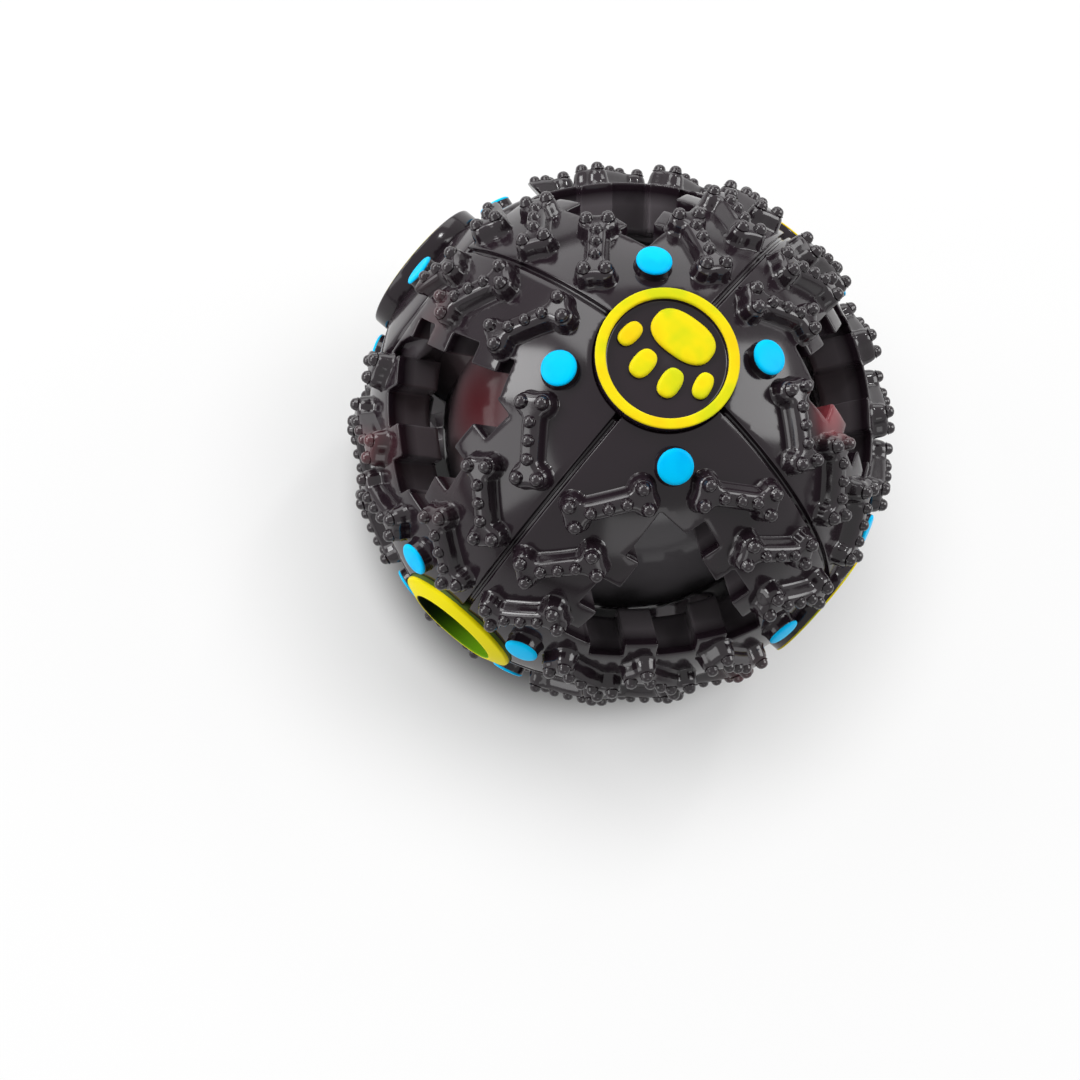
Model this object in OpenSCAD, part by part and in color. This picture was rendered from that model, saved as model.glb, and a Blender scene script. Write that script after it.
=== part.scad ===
// Treat dispensing ball: a soft black outer ball with eight castellated windows, held round a
// hard inner treat ball. A round cap opens the fill mouth and a yellow port lets treats out.
// The origin is the ball's centre. +Z is the top medallion, -Z the one that the ball rests on,
// -Y is the treat port and -X is the fill cap.

/* [Outer ball] */
// Radius of curvature of each of the eight panels
panel_r = 62; // [58:0.5:66]
// How far a panel's centre of curvature lies behind the ball's centre
panel_set_back = 8; // [6.5:0.25:9]
// Wall of the outer ball at the middle of a panel
shell_wall = 10; // [9:0.25:11.5]
// Width of the grooves between panels
groove_w = 1.8; // [1:0.1:3]
// Depth of the grooves between panels
groove_depth = 1.2; // [0.6:0.1:2]

/* [Windows] */
// Distance from a window's centre to the tips of its teeth
tooth_reach = 11.2; // [9:0.2:12.5]
// Depth of the notches between the teeth
notch_depth = 4.2; // [2:0.2:4.6]
// Depth of the notches at a corner
corner_notch_depth = 3.2; // [1.5:0.1:3.6]
// Distance from a window's centre to a corner where two notches meet
corner_reach = 25.2; // [24:0.2:26]

/* [Bones] */
// Length of a bone
bone_length = 18.5; // [14:0.25:20]
// Width of a bone across its ends
bone_end_w = 8.2; // [6.5:0.1:9.6]
// Width of a bone's shaft
bone_shaft_w = 4.3; // [3:0.1:6]
// Height of a bone above its panel
bone_rise = 3.3; // [1.5:0.1:3.8]
// Angle between a bone and the groove that it stands beside
bone_lean = 43; // [30:1:60]

/* [Studs] */
// Radius of a stud
stud_r = 3.5; // [2.5:0.05:4.2]
// Height of a stud above its panel
stud_rise = 2.9; // [1:0.1:3.4]
// Angle at the ball's centre between a medallion and its studs
stud_angle = 20.9; // [20:0.1:22.5]

/* [Medallions] */
// How far the flat top of a medallion's ring lies inside the point where its panels would meet
ring_dip = 0.24; // [0:0.02:0.8]
// Outer radius of a medallion's ring
ring_r = 13.85; // [12:0.05:14.5]
// Width of a medallion's ring
ring_w = 2; // [1.2:0.1:2.6]
// How far the disc inside the ring lies below the ring's top
disc_recess = 1.7; // [1.2:0.1:2.5]
// Thickness of a medallion from the ring's top to its seat in the outer ball
medallion_depth = 6.6; // [5:0.1:7.5]
// Radius of the stem that pins a medallion to the inner ball
stem_r = 5; // [3:0.1:6]

/* [Paw] */
// Height of the pads above the disc
pad_rise = 1.1; // [0.6:0.1:1.4]
// Length of the main pad
main_pad_l = 13.2; // [10:0.2:14]
// Width of the main pad
main_pad_w = 8.4; // [6:0.2:9]
// Length of an inner toe
inner_toe_l = 6.1; // [4:0.1:6.4]
// Width of an inner toe
inner_toe_w = 4.1; // [2.5:0.1:4.4]
// Length of an outer toe
outer_toe_l = 5.4; // [4:0.1:5.8]
// Width of an outer toe
outer_toe_w = 3.4; // [2.5:0.1:3.8]

/* [Paint] */
// Thickness of the yellow and blue paint
paint_t = 0.25; // [0.15:0.05:0.5]

/* [Treat port] */
// Radius of the treat port
port_r = 9.75; // [7:0.05:10.2]
// Wall of the yellow liner in the port
liner_wall = 0.75; // [0.5:0.05:0.9]
// Thickness of the liner's lip on top of the port ring
lip_t = 0.6; // [0.4:0.1:1]
// Wall of the black bush round the liner
bush_wall = 1.2; // [0.8:0.1:1.6]
// How far the port tube reaches into the inner ball past its wall
port_reach_in = 5; // [2:0.5:9]

/* [Inner ball] */
// Space between the outer and the inner ball
ball_space = 5; // [4:0.25:6.5]
// Wall of the inner ball
chamber_wall = 2.2; // [1.6:0.1:3]
// Radius of the bosses that take the medallion stems
boss_r = 8; // [6.5:0.1:9]
// Wall of the neck round the port tube
port_neck_wall = 1.9; // [1.2:0.1:2.2]

/* [Fill cap] */
// Radius of the cap
cap_r = 27.3; // [26:0.1:28]
// Gap between the cap and the outer ball
cap_gap = 0.8; // [0.5:0.1:1.2]
// How far the ledge that the cap sits on stands off the inner ball
ledge_stand = 2; // [1:0.1:3]
// How far the cap is turned from the line of the grooves
cap_turn_angle = -25; // [-45:1:45]
// Outer radius of the cap's medallion ring, which is wider than the others
cap_ring_r = 15.6; // [14:0.1:16]
// How much higher the cap's medallion ring stands than the others
cap_ring_lift = 1; // [0:0.1:1.2]
// Radius of the hollow under the cap
cap_hollow_r = 21; // [20.5:0.1:22]
// Depth of the hollow under the cap
cap_hollow_depth = 6.2; // [4.5:0.1:7]
// Radius of the fill mouth
mouth_r = 17.7; // [16:0.1:18]
// Wall of the fill neck
fill_neck_wall = 2.2; // [1.5:0.1:2.4]
// Thickness of the plug's flange
plug_flange_t = 2; // [1.5:0.1:3]
// Length of the plug below its flange
plug_length = 10.6; // [9:0.1:13]
// Wall of the plug behind its seal groove
plug_wall = 2; // [1.2:0.1:3]
// Radius of the seal ring's section
seal_section_r = 0.85; // [0.6:0.05:1]

/* [Sound unit] */
// Outer radius of the sound tube
tube_r = 9; // [7:0.1:9.5]
// Wall of the sound tube
tube_wall = 1.2; // [0.8:0.1:2]
// Space between the ends of the sound tube and the inside of the inner ball
tube_end_space = 2.3; // [1.8:0.1:4.8]
// Height of the sliding weight
weight_h = 16; // [10:0.5:24]
// Radius of the air hole through the weight
weight_hole_r = 3; // [2:0.1:4]
// Wall of the reed sleeve in the weight
reed_wall = 0.8; // [0.5:0.1:1.2]
// Thickness of the reed
reed_t = 0.4; // [0.3:0.1:0.8]
// Radius of the air holes in the ends of the tube
vent_r = 2; // [1:0.1:3]

/* [Clearances] */
// Between pieces that are pressed or glued together
seat_gap = 0.05; // [0.02:0.01:0.1]
// Between pieces that move past each other
run_gap = 0.3; // [0.2:0.05:0.4]

/* [Hidden] */
$fn = 64;

// Overrun of cutters past the faces that they cut
over = ring_w;
// A reach past the whole ball
far = 2 * panel_r;

// Where the teeth start and stop along a window's side, as shares of half its length, counted
// towards the end that the side's bones lean to
tooth_shares = [-0.74, -0.40, 0.015, 0.37, 0.72];
// Where the notch at a corner ends
corner_end_share = 0.885;
side_half = tooth_reach * sqrt(3);
notch_reach = tooth_reach + notch_depth;
corner_notch_reach = tooth_reach + corner_notch_depth;

// Places of the three bones beside each groove: along the groove, and out from the window's
// centre, as shares of the panel's radius measured over the panel
bone_along_shares = [0.277, -0.025, -0.325];
bone_out_shares = [0.428, 0.444, 0.410];
bone_lobe_share = 0.30;
lobe_steps = 4;

// Centres of the pads, as shares of the disc's radius, with the toes towards -Y
main_pad_share = 0.47;
inner_toe_shares = [0.266, -0.29];
outer_toe_shares = [0.715, -0.01];
inner_toe_splay = 3.5;
outer_toe_splay = 8.5;
paw_turn = 4.6;
pad_power = 2.5;
pad_steps = 28;

// Tilt and turns that carry a panel's own axis to a corner of the cube
octant_tilt = acos(1 / sqrt(3));
octant_az = 45;
octant_spin = 90;
half_side_angles = [270, 30, 150];

// Distances from the ball's centre
hollow_r = panel_r - panel_set_back - shell_wall;
chamber_r = hollow_r - ball_space;
chamber_in_r = chamber_r - chamber_wall;
ring_top = panel_surface(octant_tilt) - ring_dip;
ledge_x = chamber_r + ledge_stand;
tube_end = chamber_in_r - tube_end_space;

disc_r = ring_r - ring_w;
seat_z = ring_top - medallion_depth;
disc_z = ring_top - disc_recess;
cap_ring_top = ring_top + cap_ring_lift;
bush_r = port_r + liner_wall + bush_wall;
bush_in_r = port_r + liner_wall;
port_neck_r = bush_r + seat_gap + port_neck_wall;
port_neck_top = sqrt(pow(hollow_r, 2) - pow(port_neck_r, 2)) - run_gap;
boss_top = sqrt(pow(hollow_r, 2) - pow(boss_r, 2)) - run_gap;
stem_end = chamber_r;
port_in_end = chamber_in_r - port_reach_in;
fill_neck_r = mouth_r + fill_neck_wall;
cap_floor_x = ledge_x + run_gap + cap_hollow_depth;
plug_top = cap_floor_x - plug_flange_t;
plug_end = plug_top - plug_length;
plug_r = mouth_r - run_gap - seat_gap;
seal_r = mouth_r - seat_gap - seat_gap - seat_gap - seal_section_r;
seal_x = plug_end + 2 * plug_wall;
seal_floor_r = seal_r - seal_section_r - seat_gap;
plug_in_r = seal_floor_r - plug_wall;
tube_in_r = tube_r - tube_wall;
socket_r = tube_r + seat_gap + chamber_wall;
socket_rim = tube_end - 3 * chamber_wall;
tube_floor = tube_end - tube_wall;
weight_r = tube_in_r - run_gap;
weight_low = run_gap - tube_floor;
tube_cap_low = tube_end - 2 * chamber_wall;
stud_top = panel_surface(octant_tilt - stud_angle) + stud_rise;

// Distance from the ball's centre to a panel, at an angle from that panel's own axis
function panel_surface(a) = sqrt(pow(panel_r, 2) - pow(panel_set_back * sin(a), 2)) - panel_set_back * cos(a);

// For a panel given by the signs of its corner, +1 or -1 for each of its three sides: which end
// of the side the bones lean to
function side_leans(s) = [-s[1], -s[1], -s[0] * s[2]];

// Flat polar place: a distance out from the centre along an angle, and a distance along the side
function side_point(a, out, along) = [out * cos(a) - along * sin(a), out * sin(a) + along * cos(a)];

// One side of a window, from its first corner to its second, without the corner points
function side_steps(a, lean) = let (
        edges = [for (i = [0:4]) lean > 0 ? tooth_shares[i] : -tooth_shares[4 - i]]
    ) [for (i = [0:4]) for (k = [0, 1])
        let (
            at_corner = lean > 0 ? (i == 0 && k == 0) : (i == 4 && k == 1),
            deep = lean > 0 ? ((i + k) % 2 == 0) : ((i + k) % 2 == 1),
            reach = at_corner ? corner_notch_reach : (deep ? notch_reach : tooth_reach)
        ) side_point(a, reach, edges[i] * side_half)];

// The corner between two sides, each with a flag that says whether it has a notch there
function corner_steps(a, notch_before, notch_after) = let (c = a + 60)
    notch_before && notch_after ? [[corner_reach * cos(c), corner_reach * sin(c)]] :
    notch_before ? [
        side_point(a, corner_notch_reach, corner_end_share * side_half),
        corner_cross(a, corner_end_share * side_half, 1)] :
    notch_after ? [
        corner_cross(a + 120, -corner_end_share * side_half, -1),
        side_point(a + 120, corner_notch_reach, -corner_end_share * side_half)] :
    [[2 * tooth_reach * cos(c), 2 * tooth_reach * sin(c)]];

// Where the end of a corner notch meets the tooth line of the side next to it
function corner_cross(a, along, way) = side_point(a, 2 * (way * along * sin(120) - tooth_reach), along);

// The whole outline of a window with its teeth and notches
function window_outline(leans) = [for (i = [0:2]) each concat(
    side_steps(half_side_angles[i], leans[i]),
    corner_steps(half_side_angles[i], leans[i] < 0, leans[(i + 1) % 3] > 0))];

// Outline of a bone along X: two round lobes at each end and a straight shaft
function lobe_arc(cx, cy, r, from, to) = [for (i = [0:lobe_steps])
    let (a = from + (to - from) * i / lobe_steps) [cx + r * cos(a), cy + r * sin(a)]];
function bone_outline(l, w, shaft) = let (
        r = bone_lobe_share * w,
        cx = l / 2 - r,
        cy = w / 2 - r
    ) concat(
        lobe_arc(cx, -cy, r, -150, 25),
        lobe_arc(cx, cy, r, -25, 150),
        [[cx - r, shaft / 2], [r - cx, shaft / 2]],
        lobe_arc(-cx, cy, r, 30, 205),
        lobe_arc(-cx, -cy, r, 155, 330),
        [[r - cx, -shaft / 2], [cx - r, -shaft / 2]]);

// Outline of a pad: a rounded oblong
function signed_power(v, p) = sign(v) * pow(abs(v), p);
function pad_outline(l, w) = [for (i = [0:pad_steps - 1])
    let (a = 360 * i / pad_steps, p = 2 / pad_power)
    [l / 2 * signed_power(cos(a), p), w / 2 * signed_power(sin(a), p)]];

// Puts a panel's own frame, with +Z out of the panel, on the corner of the cube at [1, 1, 1]
module on_octant() {
    rotate([0, 0, octant_az])
        rotate([0, octant_tilt, 0])
            rotate([0, 0, octant_spin])
                children();
}

// Mirrors the [1, 1, 1] corner to the corner with these signs
module to_corner(s) {
    mirror([s[0] < 0 ? 1 : 0, 0, 0])
        mirror([0, s[1] < 0 ? 1 : 0, 0])
            mirror([0, 0, s[2] < 0 ? 1 : 0])
                children();
}

// Turns +Z to one of the six directions of the medallions
module facing(side) {
    if (side == "top") children();
    if (side == "bottom") rotate([180, 0, 0]) children();
    if (side == "right") rotate([0, 90, 0]) children();
    if (side == "back") rotate([-90, 0, 0]) children();
    if (side == "cap") rotate([cap_turn_angle, 0, 0]) rotate([0, -90, 0]) children();
    if (side == "port") rotate([90, 0, 0]) children();
}

module panel_ball(extra) {
    on_octant() translate([0, 0, -panel_set_back]) sphere(panel_r + extra, $fn = 96);
}

// One eighth of the outer ball with a half groove along its three cut faces
module panel_blank() {
    difference() {
        union() {
            intersection() {
                panel_ball(0);
                translate([groove_w / 2, groove_w / 2, groove_w / 2]) cube(far);
            }
            intersection() {
                panel_ball(-groove_depth);
                cube(far);
            }
        }
        sphere(hollow_r, $fn = 96);
    }
}

module bones(leans) {
    on_octant() intersection() {
        for (i = [0:2]) for (k = [0:2]) one_bone(half_side_angles[i], leans[i], k);
        translate([0, 0, -panel_set_back]) sphere(panel_r + bone_rise, $fn = 96);
    }
}

module one_bone(a, lean, k) {
    along = lean * bone_along_shares[k];
    out = bone_out_shares[k];
    az = a + atan2(along, out);
    tilt = asin(sin(norm([along, out]) * 180 / PI) * panel_surface(norm([along, out]) * 180 / PI) / panel_r);
    translate([0, 0, -panel_set_back])
        rotate([0, 0, az])
            rotate([0, tilt, 0])
                rotate([0, 0, a + lean * (90 + bone_lean) - az])
                    translate([0, 0, panel_r - bone_rise])
                        linear_extrude(3 * bone_rise)
                            polygon(bone_outline(bone_length, bone_end_w, bone_shaft_w));
}

module window_cut(leans) {
    on_octant() translate([0, 0, hollow_r / 2])
        linear_extrude(panel_r) polygon(window_outline(leans));
}

// A stud's place: near one corner of the panel, on the line to the panel's middle
module at_studs(turn, count) {
    for (i = [0:count - 1])
        rotate([0, 0, turn + 360 / 4 * (i + 0.5)])
            rotate([0, stud_angle, 0])
                children();
}

module stud_body() {
    translate([0, 0, stud_top - paint_t - 3 * stud_rise]) cylinder(h = 3 * stud_rise, r = stud_r);
}

module stud_skin() {
    translate([0, 0, stud_top - paint_t]) cylinder(h = paint_t, r = stud_r);
}

// What is cut from the outer ball at a medallion: the seat and the hole for its stem
module medallion_seat_cut() {
    translate([0, 0, seat_z]) cylinder(h = panel_r, r = ring_r + seat_gap);
    translate([0, 0, hollow_r / 2]) cylinder(h = panel_r, r = stem_r + run_gap);
}

module port_seat_cut() {
    translate([0, 0, seat_z]) cylinder(h = panel_r, r = ring_r + seat_gap);
    translate([0, 0, hollow_r / 2]) cylinder(h = panel_r, r = bush_r + seat_gap);
}

module cap_seat_cut() {
    translate([0, 0, ledge_x]) cylinder(h = panel_r, r = cap_r + cap_gap, $fn = 128);
    translate([0, 0, hollow_r / 2]) cylinder(h = panel_r, r = fill_neck_r + run_gap, $fn = 96);
}

// One of the eight panels, with its bones, window, studs and corner seats
module panel(s) {
    leans = side_leans(s);
    to_corner(s) difference() {
        union() {
            panel_blank();
            bones(leans);
            at_studs(0, 1) stud_body();
            if (s[0] > 0) rotate([0, 90, 0]) rotate([0, 0, 90]) at_studs(0, 1) stud_body();
            rotate([-90, 0, 0]) rotate([0, 0, -90]) at_studs(0, 1) stud_body();
        }
        window_cut(leans);
        medallion_seat_cut();
        rotate([0, 90, 0]) if (s[0] < 0) cap_seat_cut(); else medallion_seat_cut();
        rotate([-90, 0, 0]) if (s[1] < 0) port_seat_cut(); else medallion_seat_cut();
    }
}

module outer_shell(z) {
    color("#1b191b") {
        panel([-1, -1, z]);
        panel([-1, 1, z]);
        panel([1, 1, z]);
        panel([1, -1, z]);
    }
}

module outer_shell_upper() { outer_shell(1); }

module outer_shell_lower() { outer_shell(-1); }

// The five pads of a paw, with its toes towards -Y
module paw_pads(h) {
    rotate([0, 0, paw_turn]) {
        translate([0, main_pad_share * disc_r, 0]) linear_extrude(h) polygon(pad_outline(main_pad_l, main_pad_w));
        for (m = [1, -1]) {
            translate([m * inner_toe_shares[0] * disc_r, inner_toe_shares[1] * disc_r, 0])
                rotate([0, 0, 90 + m * inner_toe_splay])
                    linear_extrude(h) polygon(pad_outline(inner_toe_l, inner_toe_w));
            translate([m * outer_toe_shares[0] * disc_r, outer_toe_shares[1] * disc_r, 0])
                rotate([0, 0, 90 + m * outer_toe_splay])
                    linear_extrude(h) polygon(pad_outline(outer_toe_l, outer_toe_w));
        }
    }
}

// A medallion stands along +Z: a raised ring round a sunk disc with a paw, on a stem
module medallion(stem_to, r, top) {
    color("#1b191b") {
        rotate_extrude($fn = 96) polygon([
            [0, stem_to], [stem_r, stem_to], [stem_r, seat_z], [r, seat_z],
            [r, top - paint_t], [r - ring_w, top - paint_t], [r - ring_w, disc_z], [0, disc_z]]);
        translate([0, 0, disc_z - pad_rise]) paw_pads(2 * pad_rise - paint_t);
    }
}

module ring_skin(r, top) {
    rotate_extrude($fn = 96) polygon([
        [r - ring_w, top - paint_t], [r, top - paint_t], [r, top], [r - ring_w, top]]);
}

module paw_skin() {
    translate([0, 0, disc_z + pad_rise - paint_t]) paw_pads(paint_t);
}

shell_sides = ["top", "bottom", "right", "back"];

module medallion_top() { facing("top") medallion(stem_end, ring_r, ring_top); }

module medallion_bottom() { facing("bottom") medallion(stem_end, ring_r, ring_top); }

module medallion_right() { facing("right") medallion(stem_end, ring_r, ring_top); }

module medallion_back() { facing("back") medallion(stem_end, ring_r, ring_top); }

module medallion_ring_paint() {
    color("#e9dc1c") for (side = shell_sides) facing(side) ring_skin(ring_r, ring_top);
}

module medallion_paw_paint() {
    color("#e9dc1c") for (side = shell_sides) facing(side) paw_skin();
}

module stud_paint() {
    color("#00bdf5") for (side = concat(shell_sides, ["port"])) facing(side) at_studs(0, 4) stud_skin();
}

// Black bush in the port: a ring on the outside and a sleeve into the inner ball
module port_bush() {
    color("#1b191b") facing("port") rotate_extrude($fn = 96) polygon([
        [bush_in_r, chamber_in_r], [bush_r, chamber_in_r], [bush_r, seat_z], [ring_r, seat_z],
        [ring_r, ring_top - lip_t], [bush_in_r, ring_top - lip_t]]);
}

// Yellow liner: a tube that treats roll out of, with a flat lip over the port ring
module port_liner() {
    color("#c9d22a") facing("port") rotate_extrude($fn = 96) polygon([
        [port_r, port_in_end], [bush_in_r, port_in_end], [bush_in_r, ring_top - lip_t],
        [ring_r, ring_top - lip_t], [ring_r, ring_top], [port_r, ring_top]]);
}

// A socket on the inner ball that a medallion's stem is pressed into
module boss() {
    translate([0, 0, chamber_in_r]) cylinder(h = boss_top - chamber_in_r, r = boss_r);
}

module boss_hole() {
    translate([0, 0, stem_end]) cylinder(h = far, r = stem_r + seat_gap);
}

// Cup inside the inner ball that holds one end of the sound tube
module tube_socket() {
    difference() {
        intersection() {
            translate([0, 0, socket_rim]) cylinder(h = far, r = socket_r);
            sphere(chamber_r - chamber_wall / 2, $fn = 96);
        }
        translate([0, 0, socket_rim - over]) cylinder(h = tube_end - socket_rim + over, r = tube_r + seat_gap);
    }
}

// One half of the inner ball, cut at y = 0: the port is in the front half, and the two halves
// hold the sound tube and the fill neck between them
module chamber_half(side_list, to_back) {
    color("#262326") intersection() {
        difference() {
            union() {
                difference() {
                    union() {
                        sphere(chamber_r, $fn = 96);
                        for (side = side_list) facing(side) boss();
                        if (!to_back) facing("port") cylinder(h = port_neck_top, r = port_neck_r);
                        rotate([0, -90, 0]) cylinder(h = ledge_x, r = fill_neck_r, $fn = 96);
                    }
                    sphere(chamber_in_r, $fn = 96);
                }
                facing("top") tube_socket();
                facing("bottom") tube_socket();
            }
            for (side = side_list) facing(side) boss_hole();
            if (!to_back) facing("port") cylinder(h = far, r = bush_r + seat_gap);
            rotate([0, -90, 0]) cylinder(h = far, r = mouth_r, $fn = 96);
        }
        translate([-far / 2, to_back ? 0 : -far, -far / 2]) cube(far);
    }
}

module chamber_front() { chamber_half(["top", "bottom", "right"], false); }

module chamber_back() { chamber_half(["top", "bottom", "right", "back"], true); }

// The four panel curves that meet at a medallion, standing along +Z
module vertex_dome(extra) {
    intersection_for(q = [0:3]) rotate([0, 0, 90 * q]) panel_ball(extra);
}

// The cap stands along +Z with its four groove ends and studs
module cap_body() {
    difference() {
        union() {
            intersection() {
                translate([0, 0, ledge_x + run_gap]) cylinder(h = panel_r, r = cap_r, $fn = 128);
                vertex_dome(0);
            }
            at_studs(0, 4) stud_body();
        }
        difference() {
            for (q = [0, 90])
                rotate([0, 0, q]) translate([-far / 2, -groove_w / 2, ledge_x]) cube([far, groove_w, far]);
            vertex_dome(-groove_depth);
        }
        translate([0, 0, seat_z]) cylinder(h = panel_r, r = cap_ring_r + seat_gap);
        translate([0, 0, hollow_r / 2]) cylinder(h = panel_r, r = stem_r + seat_gap);
        translate([0, 0, ledge_x]) cylinder(h = cap_floor_x - ledge_x, r = cap_hollow_r, $fn = 96);
    }
}

module fill_cap() { color("#1b191b") facing("cap") cap_body(); }

module cap_medallion() { facing("cap") medallion(plug_top, cap_ring_r, cap_ring_top); }

module cap_ring_paint() { color("#e9dc1c") facing("cap") ring_skin(cap_ring_r, cap_ring_top); }

module cap_paw_paint() { color("#e9dc1c") facing("cap") paw_skin(); }

module cap_stud_paint() { color("#00bdf5") facing("cap") at_studs(0, 4) stud_skin(); }

// Hard plug glued into the cap: a flange, and a cup with a groove for the seal ring
module cap_plug() {
    color("#3a3a3e") facing("cap") rotate_extrude($fn = 96) polygon([
        [stem_r + seat_gap, plug_top], [plug_in_r, plug_top], [plug_in_r, plug_end], [plug_r, plug_end],
        [plug_r, seal_x - seal_section_r - 3 * seat_gap], [seal_floor_r, seal_x - seal_section_r - 3 * seat_gap],
        [seal_floor_r, seal_x + seal_section_r + 3 * seat_gap], [plug_r, seal_x + seal_section_r + 3 * seat_gap],
        [plug_r, plug_top], [cap_hollow_r - seat_gap, plug_top], [cap_hollow_r - seat_gap, cap_floor_x],
        [stem_r + seat_gap, cap_floor_x]]);
}

module seal_ring() {
    color("#7a1c20") facing("cap") translate([0, 0, seal_x])
        rotate_extrude($fn = 96) translate([seal_r, 0]) circle(seal_section_r, $fn = 24);
}

// Sound tube: closed at the bottom but for an air hole
module sound_tube() {
    color("#d8d4c8") rotate_extrude() polygon([
        [vent_r, -tube_end], [tube_r, -tube_end], [tube_r, tube_end - tube_wall], [tube_in_r, tube_end - tube_wall],
        [tube_in_r, -tube_floor], [vent_r, -tube_floor]]);
}

module sound_tube_cap() {
    color("#d8d4c8") rotate_extrude() polygon([
        [vent_r, tube_end], [vent_r, tube_cap_low], [tube_in_r - seat_gap, tube_cap_low],
        [tube_in_r - seat_gap, tube_end - tube_wall], [tube_r, tube_end - tube_wall], [tube_r, tube_end]]);
}

// Weight that falls through the tube and drives air through its reed
module sound_weight() {
    color("#8f9196") rotate_extrude() polygon([
        [weight_hole_r, weight_low], [weight_r, weight_low],
        [weight_r, weight_low + weight_h], [weight_hole_r, weight_low + weight_h]]);
}

// Reed sleeve in the weight's hole, with the reed across its middle
module sound_reed() {
    reed_in_r = weight_hole_r - seat_gap - reed_wall;
    color("#c9a24a") translate([0, 0, weight_low]) {
        difference() {
            cylinder(h = weight_h, r = weight_hole_r - seat_gap, $fn = 48);
            translate([0, 0, -over]) cylinder(h = weight_h + 2 * over, r = reed_in_r, $fn = 48);
        }
        translate([-reed_in_r - reed_wall / 2, -reed_t / 2, weight_h / 4])
            cube([2 * reed_in_r + reed_wall, reed_t, weight_h / 2]);
    }
}

outer_shell_upper();
outer_shell_lower();
chamber_front();
chamber_back();
medallion_top();
medallion_bottom();
medallion_right();
medallion_back();
medallion_ring_paint();
medallion_paw_paint();
stud_paint();
port_bush();
port_liner();
fill_cap();
cap_medallion();
cap_ring_paint();
cap_paw_paint();
cap_stud_paint();
cap_plug();
seal_ring();
sound_tube();
sound_tube_cap();
sound_weight();
sound_reed();
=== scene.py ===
import bmesh
import bpy
import numpy as np
from mathutils import Matrix, Vector
from mathutils.geometry import delaunay_2d_cdt


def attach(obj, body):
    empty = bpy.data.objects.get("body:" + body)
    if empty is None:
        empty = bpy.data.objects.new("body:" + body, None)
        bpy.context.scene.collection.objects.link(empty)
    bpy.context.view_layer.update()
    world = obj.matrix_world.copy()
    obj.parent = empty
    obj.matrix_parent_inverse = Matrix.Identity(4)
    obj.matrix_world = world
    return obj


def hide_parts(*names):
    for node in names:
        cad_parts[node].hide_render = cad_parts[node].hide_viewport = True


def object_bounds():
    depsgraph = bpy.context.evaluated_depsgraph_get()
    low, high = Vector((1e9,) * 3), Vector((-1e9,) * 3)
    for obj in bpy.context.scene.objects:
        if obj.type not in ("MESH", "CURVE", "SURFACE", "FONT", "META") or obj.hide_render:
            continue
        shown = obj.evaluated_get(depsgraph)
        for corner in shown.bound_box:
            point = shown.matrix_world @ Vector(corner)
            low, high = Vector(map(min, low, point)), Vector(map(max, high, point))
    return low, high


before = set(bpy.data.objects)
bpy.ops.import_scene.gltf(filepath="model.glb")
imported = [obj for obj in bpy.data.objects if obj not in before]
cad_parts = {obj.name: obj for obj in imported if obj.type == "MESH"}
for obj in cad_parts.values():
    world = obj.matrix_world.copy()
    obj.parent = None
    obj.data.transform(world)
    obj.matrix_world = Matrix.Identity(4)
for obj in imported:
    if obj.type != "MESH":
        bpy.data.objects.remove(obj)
cad_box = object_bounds()

# Camera
# The ball is looked at from almost straight above its top medallion, from 390 mm away, and it
# sits right of the middle of the picture and above it.
mm = 0.001
camera_place = Vector((17.9, -114.8, 371.6)) * mm
picture_right = Vector((0.761, 0.639, 0.113)).normalized()
picture_back = Vector((0.042, -0.2225, 0.974)).normalized()
picture_up = picture_back.cross(picture_right).normalized()
picture_right = picture_up.cross(picture_back)

camera_data = bpy.data.cameras.new("camera")
camera_data.lens = 58.96
camera_data.sensor_width = 36
camera_data.clip_start = 10 * mm
camera_data.clip_end = 20
camera = bpy.data.objects.new("camera", camera_data)
camera.matrix_world = Matrix((
    (picture_right.x, picture_up.x, picture_back.x, camera_place.x),
    (picture_right.y, picture_up.y, picture_back.y, camera_place.y),
    (picture_right.z, picture_up.z, picture_back.z, camera_place.z),
    (0, 0, 0, 1)))
bpy.context.scene.collection.objects.link(camera)
bpy.context.scene.camera = camera
bpy.context.scene.view_settings.view_transform = "Standard"


# Floor and light
# A white table in a white room. Seven soft lamps stand round the ball, the strongest at the
# picture's left, right and top, so that its shadow is soft and the panels' gloss shows them.
floor_z = cad_box[0][2]
table_half = 3.0
shadow_r = [44 * mm, 62 * mm]
glow_r = [50 * mm, 105 * mm]
most_glow = 0.88


def shader(owner, kind, place, values=None, **settings):
    """A new node of that kind in the tree of a material or the world, with its settings. Each
    input named takes a value, or a link from a socket or from a node's first one."""
    node = owner.node_tree.nodes.new(kind)
    node.location = place
    for name, value in settings.items():
        setattr(node, name, value)
    for name, value in (values or {}).items():
        if isinstance(value, bpy.types.Node):
            value = value.outputs[0]
        if isinstance(value, bpy.types.NodeSocket):
            owner.node_tree.links.new(value, node.inputs[name])
        else:
            node.inputs[name].default_value = value
    return node


def new_material(name):
    """An empty node material."""
    material = bpy.data.materials.new(name)
    material.use_nodes = True
    material.node_tree.nodes.clear()
    return material


def ramp(material, place, share, *stops):
    """A colour ramp along a share, with a colour at each of its rising positions."""
    node = shader(material, "ShaderNodeValToRGB", place, {0: share})
    elements = node.color_ramp.elements
    for number, (position, colour) in enumerate(stops):
        stop = elements[number] if number < 2 else elements.new(position)
        stop.position = position
        stop.color = (*colour, 1)
    return node


def faded(material, place, value, start, end, most=1):
    """A share that goes smoothly from none to its most between two values."""
    return shader(material, "ShaderNodeMapRange", place,
                  {"Value": value, "From Min": start, "From Max": end, "To Max": most},
                  interpolation_type="SMOOTHSTEP")


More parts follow.
